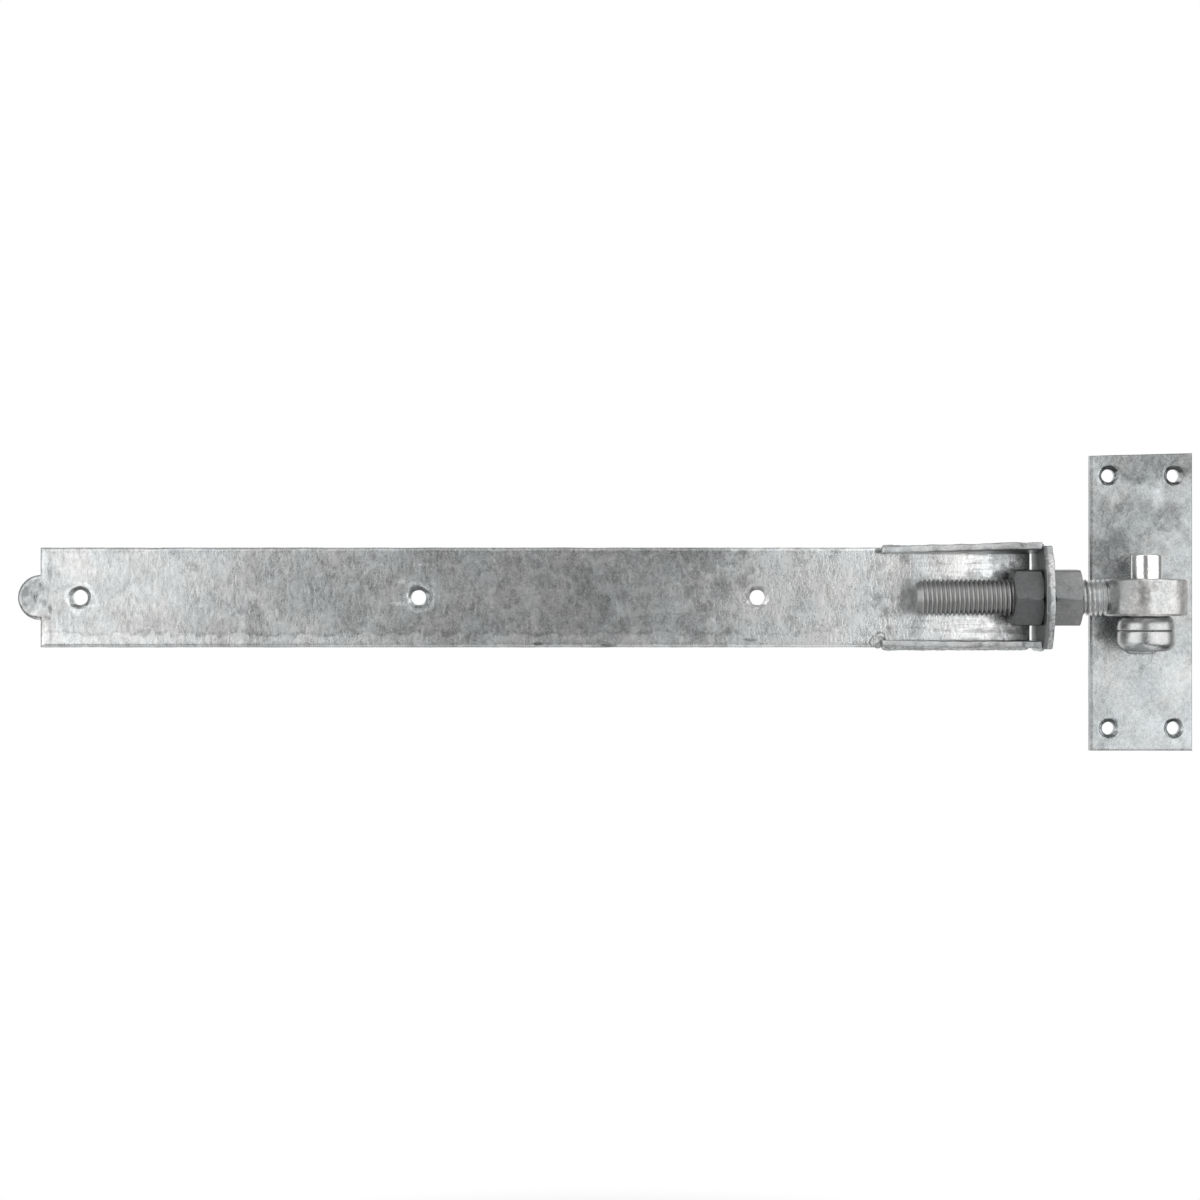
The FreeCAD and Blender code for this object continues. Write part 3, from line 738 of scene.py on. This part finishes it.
def bead(name, start, axis, length, radius, ripple, seed):
    """Bead of weld along an axis, with its length in metres and its radius in millimetres."""
    steps = int(length / (BEAD_PITCH * MM / 6))
    bm = bmesh.new()
    ring = bmesh.ops.create_circle(bm, cap_ends=False, radius=radius * MM, segments=18)["verts"]
    bmesh.ops.spin(bm, geom=ring + bm.edges[:], cent=(0, 0, 0), axis=(0, 0, 1), angle=0.0,
                   dvec=(0, 0, length / steps), steps=steps)
    bmesh.ops.holes_fill(bm, edges=[edge for edge in bm.edges if edge.is_boundary])
    for vert in bm.verts:
        along = vert.co.z / MM
        wave = 1 + ripple * math.sin(2 * math.pi * along / BEAD_PITCH + vert.co.x / (radius * MM))
        swell = 1 + 0.25 * noise.noise(Vector((along / 7, seed, 0)))
        to_end = min(along, length / MM - along) / (1.3 * radius)
        round_end = math.sqrt(max(0.03, 1 - (1 - min(1.0, to_end)) ** 2))
        vert.co.x *= wave * swell * round_end
        vert.co.y *= wave * swell * round_end
    stand(bm, axis, start)
    unsettle(bm, 0.12, 2.2, seed)
    return finish_piece(bm, name, sharp=70)


# %% Seams and corners
SEAM_RADIUS, CORNER_RADIUS = 1.4, 1.25
SEAM_Z = {"upper": strap_high.z - 0.5 * MM, "lower": strap_low.z + 0.3 * MM}
CORNER_Z = {"upper": plate_high.z - 0.2 * MM, "lower": plate_low.z + 0.2 * MM}
zinc_weld = galvanised("zinc_weld", (0.28, 0.76), contrast=1.3, fine=1.2, gloss=(0.18, 0.32), blotch=2.6,
                       broad=10.0, seed=6.0)
for seed, side in enumerate(("upper", "lower")):
    low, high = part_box(f"{side}_seam_weld")
    start = (low.x, STRAP_FRONT + 0.3 * MM, SEAM_Z[side])
    seam = bead(f"{side}_seam_bead", start, (1, 0, 0), high.x - low.x, SEAM_RADIUS, 0.05, seed)
    dress(seam, f"{side}_seam_weld", zinc_weld)
    low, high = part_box(f"{side}_corner_weld")
    start = (plate_low.x - 0.1 * MM, high.y, CORNER_Z[side])
    corner = bead(f"{side}_corner_bead", start, (0, -1, 0), high.y - low.y, CORNER_RADIUS, 0.12, seed + 3)
    dress(corner, f"{side}_corner_weld", zinc_weld)

# %% Toe puddle
PUDDLE_FLATTENED = 0.66
low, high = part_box("lower_toe_weld")
bm = bmesh.new()
bmesh.ops.create_icosphere(bm, subdivisions=5, radius=(high.x - low.x) / 2)
bmesh.ops.scale(bm, verts=bm.verts, vec=(1, PUDDLE_FLATTENED, 1))
puddle_place = ((low.x + high.x) / 2, STRAP_FRONT + 0.2 * MM, (low.z + high.z) / 2)
bmesh.ops.translate(bm, verts=bm.verts, vec=puddle_place)
unsettle(bm, 0.9, 1.9, seed=2)
dress(finish_piece(bm, "toe_puddle", sharp=70), "lower_toe_weld", zinc_plate)

# %% [markdown]
# ## Eye bolt
# The thread is a real one: a notch profile one pitch long is spun round the bolt's axis and moved along
# it as it turns. Its tip is turned down to a cone, and the shank is joined to the forged eye.

# %% Thread
PITCH = 2.0
CREST = 8.0
ROOT = 6.95
TURN_STEPS = 40


def thread(start, end, swell=0.0):
    """Closed threaded rod along the bolt's axis, between two places in metres."""
    crest, root = CREST + swell, ROOT + swell
    profile = [(0, root), (0.14, root + 0.06), (0.38, crest - 0.14), (0.5, crest), (0.62, crest - 0.14),
               (0.86, root + 0.06), (1, root)]
    first = math.floor(start / (PITCH * MM)) - 1
    turns = math.ceil(end / (PITCH * MM)) + 1 - first
    bm = bmesh.new()
    verts = [bm.verts.new(((first + part) * PITCH * MM, 0, radius * MM)) for part, radius in profile]
    edges = [bm.edges.new(pair) for pair in zip(verts, verts[1:])]
    bmesh.ops.spin(bm, geom=verts + edges, cent=(0, 0, 0), axis=(1, 0, 0), angle=2 * math.pi * turns,
                   dvec=(PITCH * MM / TURN_STEPS, 0, 0), steps=TURN_STEPS * turns)
    bmesh.ops.remove_doubles(bm, verts=bm.verts, dist=NEAR)
    for place, outward in ((start, -1), (end, 1)):
        bmesh.ops.bisect_plane(bm, geom=bm.verts[:] + bm.edges[:] + bm.faces[:], plane_co=(place, 0, 0),
                               plane_no=(outward, 0, 0), dist=NEARER, clear_outer=True)
        rim = [edge for edge in bm.edges if edge.is_boundary
               and all(abs(vert.co.x - place) < NEAR for vert in edge.verts)]
        bmesh.ops.contextual_create(bm, geom=rim)
    bmesh.ops.translate(bm, verts=bm.verts, vec=(0, BOLT.y, BOLT.z))
    return bm


# %% Shank with its coned tip
bolt_low, bolt_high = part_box("eye_bolt")
TIP_LENGTH = 3.0
TIP_RADIUS = 6.0
SHANK_END = PIN.x - 11 * MM
bm = thread(bolt_low.x, SHANK_END)
for vert in bm.verts:
    from_tip = (vert.co.x - bolt_low.x) / MM
    limit = TIP_RADIUS + (CREST - TIP_RADIUS) * min(1.0, from_tip / TIP_LENGTH)
    out = Vector((0, vert.co.y - BOLT.y, vert.co.z - BOLT.z))
    if out.length > limit * MM:
        vert.co -= out * (1 - limit * MM / out.length)
eye_bolt = finish_piece(bm, "eye_bolt_threaded", sharp=50)
print("thread turns:", round((SHANK_END - bolt_low.x) / (PITCH * MM), 1))

# %% Forged eye
EYE_RADIUS = (bolt_high.x - PIN.x) / MM
EYE_HALF = (bolt_high.z - bolt_low.z) / 2 / MM
EYE_BORE = 7.1
EYE_EDGE = 1.3
EYE_MOUTH = 0.6
EYE_LUMP = 0.16 * MM
wall = [(EYE_RADIUS, (EYE_EDGE - EYE_HALF) * (1 - step / 4.5)) for step in range(1, 9)]
eye_profile = (
    arc((EYE_RADIUS - EYE_EDGE, EYE_HALF - EYE_EDGE), EYE_EDGE, 0, 90)
    + arc((EYE_BORE + EYE_MOUTH, EYE_HALF - EYE_MOUTH), EYE_MOUTH, 90, 180, 4)
    + arc((EYE_BORE + EYE_MOUTH, EYE_MOUTH - EYE_HALF), EYE_MOUTH, 180, 270, 4)
    + arc((EYE_RADIUS - EYE_EDGE, EYE_EDGE - EYE_HALF), EYE_EDGE, -90, 0)
    + wall
)
bm = stand(turned(eye_profile, steps=120, closed=True), (0, 0, 1), (PIN.x, PIN.y, BOLT.z))
bm.normal_update()
for vert in bm.verts:
    from_pin = Vector((vert.co.x - PIN.x, vert.co.y - PIN.y, 0)).length / MM
    outward = max(0.0, (from_pin - EYE_BORE) / (EYE_RADIUS - EYE_BORE))
    vert.co += vert.normal * (EYE_LUMP * (lumps(vert.co, 5, 2.2) - 0.4) * outward)
combine(eye_bolt, finish_piece(bm, "eye"), "UNION", sharp=50)

# %% [markdown]
# The thread's roots are painted darker and its crests lighter, a painted shade in the roots. The
# distance from the bolt's axis tells the two apart. Outside the box the thread is as pale as the eye.

# %% Bolt finish
BOLT_MARKS = (((-14, 2), (9, 14), -0.5), ((-6, 2), (6, 14), 0.12), ((14, 2), (4, 14), 0.3))
# Painted shade: darker tones in the thread's roots, lighter on the crests.
THREAD_SHADE_TONES = ((0.0, (0.32, 0.32, 0.32)), (0.6, (0.40, 0.40, 0.395)), (1.0, (0.48, 0.475, 0.47)))
PALE_FROM, PALE_TO = PIN.x - 31.5 * MM, PIN.x - 30.0 * MM


def bolt_finish():
    material = galvanised("zinc_bolt", (0.34, 0.90), contrast=1.2, fine=1.1, gloss=(0.27, 0.40), bump=0.5,
                          blotch=3.0, broad=9.0, warmth=(0.5, 1.0), marks=BOLT_MARKS, seed=1.0)
    tree = material.node_tree
    shader = tree.nodes["Principled BSDF"]
    zinc = shader.inputs["Base Color"].links[0].from_socket
    where = add(tree, "TexCoord").outputs["Object"]
    across = {0: where, 1: (0, 1, 1), 2: (0, -BOLT.y, -BOLT.z)}
    apart = add(tree, "VectorMath", across, operation="MULTIPLY_ADD").outputs[0]
    far = add(tree, "VectorMath", {0: apart}, operation="LENGTH").outputs["Value"]
    tone = ramp(tree, fade(tree, far, ROOT * MM, CREST * MM), THREAD_SHADE_TONES)
    outside = fade(tree, component(tree, where, "X"), PALE_FROM, PALE_TO)
    tree.links.new(blend(tree, outside, tone, zinc), shader.inputs["Base Color"])
    return material


dress(eye_bolt, "eye_bolt", bolt_finish())

# %% [markdown]
# ## Nuts
# A nut is a hexagon bar crossed with a drum whose ends are rounded, which leaves the curved corner
# chamfers. Its bore is cut with the bolt's own thread, a hair larger. A corner faces the viewer on both.

# %% Shapes that both nuts share
ACROSS_FLATS = 24.0
CORNER = ACROSS_FLATS / math.sqrt(3)
CORNER_ROUND = 0.6
FACE_RADIUS, RIM_WIDTH, RIM_DEPTH = 10.8, 3.4, 2.3
NUT_TURNED = 3.0
THREAD_PLAY = 0.12
TAP_OVERRUN = 3 * MM
corner_forward = Matrix.Rotation(math.radians(30 + NUT_TURNED), 3, "Z")
along_bolt = Matrix(((0, 0, 1), (1, 0, 0), (0, 1, 0)))
rim = arc((FACE_RADIUS, RIM_DEPTH), RIM_WIDTH, -90, 0, 8, height=RIM_DEPTH)
mouth = [(0, -1), (CREST + 1.7, -1), (ROOT, 1.75), (0, 1.75)]


def hexagon_bar(length):
    """Bar with rounded corners along Z, from the origin."""
    bm = bmesh.new()
    bmesh.ops.create_circle(bm, cap_ends=True, radius=CORNER * MM, segments=6)
    made = bmesh.ops.extrude_face_region(bm, geom=bm.faces[:])
    top = [item for item in made["geom"] if isinstance(item, bmesh.types.BMVert)]
    bmesh.ops.translate(bm, verts=top, vec=(0, 0, length))
    corners = [edge for edge in bm.edges if abs(edge.verts[0].co.z - edge.verts[1].co.z) > MM]
    bmesh.ops.bevel(bm, geom=corners, offset=CORNER_ROUND * MM, affect="EDGES", segments=4, profile=0.5,
                    material=-1)
    return bm


# %% Nuts
# The inner nut is given darker tones than the outer one: painted shade for its place inside the box.
NUT_TONES_WITH_SHADE = {"outer_nut": (0.15, 0.37), "inner_nut": (0.08, 0.20)}
for name, tones in NUT_TONES_WITH_SHADE.items():
    low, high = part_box(name)
    start = (low.x, BOLT.y, BOLT.z)
    thickness = (high.x - low.x) / MM
    bm = hexagon_bar(high.x - low.x)
    bmesh.ops.rotate(bm, verts=bm.verts, cent=(0, 0, 0), matrix=corner_forward)
    bmesh.ops.rotate(bm, verts=bm.verts, cent=(0, 0, 0), matrix=along_bolt)
    bmesh.ops.translate(bm, verts=bm.verts, vec=start)
    nut = finish_piece(bm, name + "_threaded", sharp=40)
    far_rim = [(radius, thickness - depth) for radius, depth in reversed(rim)]
    drum = turned([(0, 0)] + rim + far_rim + [(0, thickness)], steps=96)
    combine(nut, finish_piece(stand(drum, (1, 0, 0), start), "rounded_ends"), "INTERSECT", sharp=40)
    tap = thread(low.x - TAP_OVERRUN, high.x + TAP_OVERRUN, swell=THREAD_PLAY)
    combine(nut, finish_piece(tap, "tap"), "DIFFERENCE", sharp=40)
    for face, inward in ((low.x, 1), (high.x, -1)):
        bm = stand(turned(mouth, steps=72), (inward, 0, 0), (face, BOLT.y, BOLT.z))
        combine(nut, finish_piece(bm, "mouth"), "DIFFERENCE", sharp=40)
    grey = galvanised(name + "_grey", tones, gloss=(0.36, 0.52), blotch=3.5, broad=12.0, metal=0.8, seed=9.0)
    dress(nut, name, grey)

# %% [markdown]
# ## Hook plate, pin and ring
# The post plate is sheared flat bar, a little out of square. The pin, its knob and the arm behind it are
# one forging, and the ring that the eye bears on lies loose on the knob.

# %% Hook plate
hook_low, hook_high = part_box("hook_plate")
SIDE_INSET = 8.3 * MM
END_INSET = 10.05 * MM
SKEW = 1.1 * MM
SKEW_FROM = 0.9
HOOK_CELL = 1.5
HOOK_HOLES = [(x, z) for x in (hook_low.x + SIDE_INSET, hook_high.x - SIDE_INSET)
              for z in (hook_low.z + END_INSET, hook_high.z - END_INSET)]


def hook_rim(point):
    return min(point.x - hook_low.x, hook_high.x - point.x, point.z - hook_low.z, hook_high.z - point.z)


columns = grid_lines(hook_low.x, hook_high.x, HOOK_CELL)
rows = grid_lines(hook_low.z, hook_high.z, HOOK_CELL)
bm = flat_grid(columns, rows, hook_low.y)
thicken(bm, hook_high.y)
round_rim(bm, hook_low.y, 0.9, 0.8, hook_rim)
unsettle(bm, 0.06, 7, seed=3, back=hook_high.y)
for vert in bm.verts:
    upward = (vert.co.z - hook_low.z) / (hook_high.z - hook_low.z)
    leftward = (hook_high.x - vert.co.x) / (hook_high.x - hook_low.x)
    vert.co.z -= SKEW * max(0.0, (upward - SKEW_FROM) / 0.1) * leftward
hook_plate = finish_piece(bm, "post_plate")
for number, (x, z) in enumerate(HOOK_HOLES):
    combine(hook_plate, sunk_cutter(x, z, 5.8, 9.0, hook_low.y, hook_high.y, seed=number + 5), "DIFFERENCE")

# %% [markdown]
# The arm's tail goes through the plate and is riveted over in a countersink in its back. Both are profiles
# of (radius, depth behind the front face), and the hole is a little wider.

# %% Hole for the riveted tail
ARM_HEIGHT = 9.4
TAIL = [(0, -1), (4.5, -1), (4.5, 3.0), (6.4, 4.9), (0, 4.9)]
TAIL_HOLE = [(0, -1), (4.55, -1), (4.55, 2.95), (7.6, 6.0), (0, 6.0)]
ring_low, ring_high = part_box("seat_ring")
arm_z = ring_low.z - ARM_HEIGHT / 2 * MM
tail_place = (0, hook_low.y, arm_z)
bm = stand(turned(TAIL_HOLE, steps=48), (0, 1, 0), tail_place)
combine(hook_plate, finish_piece(bm, "tail_drill"), "DIFFERENCE")

# %% Hook plate finish
HOOK_MARKS = (
    ((4, 62), (30, 10), -0.32),
    ((-2, 50), (16, 5), 0.04),
    ((0, 37), (28, 16), -0.08),
    ((11, 38), (9, 7), -0.24),
    ((8, 46), (3, 7), 0.24),
    ((-4, 34), (14, 17), -0.12),
    # Painted shadow and reflection of the pin and of the knob on the plate, left of them.
    ((-13, 20), (14, 12), -0.19),
    ((-17, -9), (5, 9), -0.4),
    ((17, 22), (7, 30), 0.08),
    ((14, -20), (9, 24), 0.16),
    ((0, -46), (40, 30), 0.26),
)
# Painted shade in the upper lip of each sunk hole, and a painted highlight on its left side.
HOOK_LIP_SHADE = tuple(((x / MM + 0.6, z / MM + 2.9), (3.9, 1.9), -0.45) for x, z in HOOK_HOLES)
HOOK_GLINTS = tuple(((x / MM - 3.6, z / MM), (1.6, 3.4), 0.5) for x, z in HOOK_HOLES)
zinc_hook = galvanised("zinc_hook", (0.17, 0.66), contrast=1.1, fine=0.9, gloss=(0.20, 0.34), bump=0.4,
                       blotch=5.0, broad=24.0, warmth=(0.0, 0.5), front=hook_low.y,
                       marks=HOOK_MARKS + HOOK_LIP_SHADE + HOOK_GLINTS, seed=2.0)
dress(hook_plate, "hook_plate", zinc_hook)

# %% [markdown]
# Ring and knob are equally wide and together look like a small barrel: the ring's shoulder is a long
# ellipse, and the knob's foot a round one. Spun profiles give both.

# %% Pin, knob and arm
PIN_RADIUS = 7.0
PIN_ROUND = 0.8
KNOB_RADIUS = (ring_high.x - ring_low.x) / 2 / MM
KNOB_HEIGHT = 9.2
KNOB_BASE = 4.6
KNOB_TOP = 1.1
ARM_WIDTH, ARM_ROUND = 15.6, 4.2
pin_top = (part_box("hook_pin")[1].z - ring_low.z) / MM
pin_profile = (
    [(0, -KNOB_HEIGHT)]
    + arc((KNOB_RADIUS - KNOB_BASE, KNOB_BASE - KNOB_HEIGHT), KNOB_BASE, -90, 0, 10)
    + arc((KNOB_RADIUS - KNOB_TOP, -1.2), KNOB_TOP, 0, 84, 6)
    + [(PIN_RADIUS + 0.6, -0.15), (PIN_RADIUS, 0.3)]
    + arc((PIN_RADIUS - PIN_ROUND, pin_top - PIN_ROUND), PIN_ROUND, 0, 90)
    + [(0, pin_top)]
)
bm = stand(turned(pin_profile, steps=96), (0, 0, 1), (PIN.x, PIN.y, ring_low.z))
hook_pin = finish_piece(bm, "pin_forging")
arm_outline = []
for across, up, start in ((1, 1, 0), (-1, 1, 90), (-1, -1, 180), (1, -1, 270)):
    middle = (across * (ARM_WIDTH / 2 - ARM_ROUND), up * (ARM_HEIGHT / 2 - ARM_ROUND))
    arm_outline += arc(middle, ARM_ROUND, start, start + 90, 8)
bm = blank([(x * MM, PIN.y, arm_z + z * MM) for x, z in arm_outline], -PIN.y + hook_low.y, (0, 1, 0))
combine(hook_pin, finish_piece(bm, "arm"), "UNION")
bm = stand(turned(TAIL, steps=48), (0, 1, 0), tail_place)
combine(hook_pin, finish_piece(bm, "tail"), "UNION")

# %% Bright finish: polished on the pin, duller on the knob and ring
KNOB_SHADE = ((-21.0, 1.7, -1.2),)
PIN_POLISH = {"Base Color": (0.90, 0.90, 0.89, 1), "Roughness": (0.10, 0.10, 0.10, 1)}


def bright_finish():
    material = galvanised("bright_zinc", (0.40, 0.78), contrast=1.1, gloss=(0.24, 0.36), bump=0.3,
                          blotch=5.0, broad=18.0, metal=1.0, bands=KNOB_SHADE, seed=4.0)
    tree = material.node_tree
    shader = tree.nodes["Principled BSDF"]
    height = component(tree, add(tree, "TexCoord").outputs["Object"], "Z")
    on_pin = fade(tree, height, ring_high.z + 1 * MM, ring_high.z + 3 * MM)
    for socket, polished in PIN_POLISH.items():
        plain = shader.inputs[socket].links[0].from_socket
        tree.links.new(blend(tree, on_pin, plain, polished), shader.inputs[socket])
    return material


bright_zinc = bright_finish()
dress(hook_pin, "hook_pin", bright_zinc)

# %% Seat ring
ring_height = (ring_high.z - ring_low.z) / MM
RING_SHOULDER = 3.3
SHOULDER_HEIGHT = 4.8
RING_MOUTH = 0.4
RING_FOOT = 0.5
ring_profile = (
    arc((KNOB_RADIUS - RING_SHOULDER, ring_height - SHOULDER_HEIGHT), RING_SHOULDER, 0, 90, 10,
        height=SHOULDER_HEIGHT)
    + [(EYE_BORE + RING_MOUTH, ring_height), (EYE_BORE, ring_height - RING_MOUTH)]
    + [(EYE_BORE, RING_MOUTH), (EYE_BORE + RING_MOUTH, 0)]
    + arc((KNOB_RADIUS - RING_FOOT, RING_FOOT), RING_FOOT, -90, 0, 4)
)
bm = stand(turned(ring_profile, steps=96, closed=True), (0, 0, 1), (PIN.x, PIN.y, ring_low.z))
dress(finish_piece(bm, "seat_ring_turned"), "seat_ring", bright_zinc)

# %% [markdown]
# The weld round the arm is a round bead along a closed path, a little outside the arm's own outline. A
# curve with a bevel makes it, and the noise then makes it uneven.

# %% Weld round the arm
WELD_RADIUS = 1.45 * MM
WELD_SPREAD = 1.02 * MM
weld_curve = bpy.data.curves.new("arm_weld", "CURVE")
weld_curve.dimensions = "3D"
weld_curve.bevel_depth = WELD_RADIUS
weld_curve.bevel_resolution = 5
path = weld_curve.splines.new("POLY")
path.points.add(len(arm_outline) - 1)
path.use_cyclic_u = True
for point, (x, z) in zip(path.points, arm_outline):
    point.co = (x * WELD_SPREAD, hook_low.y - 0.1 * MM, arm_z + z * WELD_SPREAD, 1)
weld_object = bpy.data.objects.new("arm_weld_path", weld_curve)
bpy.context.scene.collection.objects.link(weld_object)
depsgraph = bpy.context.evaluated_depsgraph_get()
bm = bmesh.new()
bm.from_mesh(bpy.data.meshes.new_from_object(weld_object.evaluated_get(depsgraph)))
bpy.data.objects.remove(weld_object)
unsettle(bm, 0.3, 2.2, seed=7)
dress(finish_piece(bm, "arm_weld_bead", sharp=70), "hook_weld", zinc_weld)
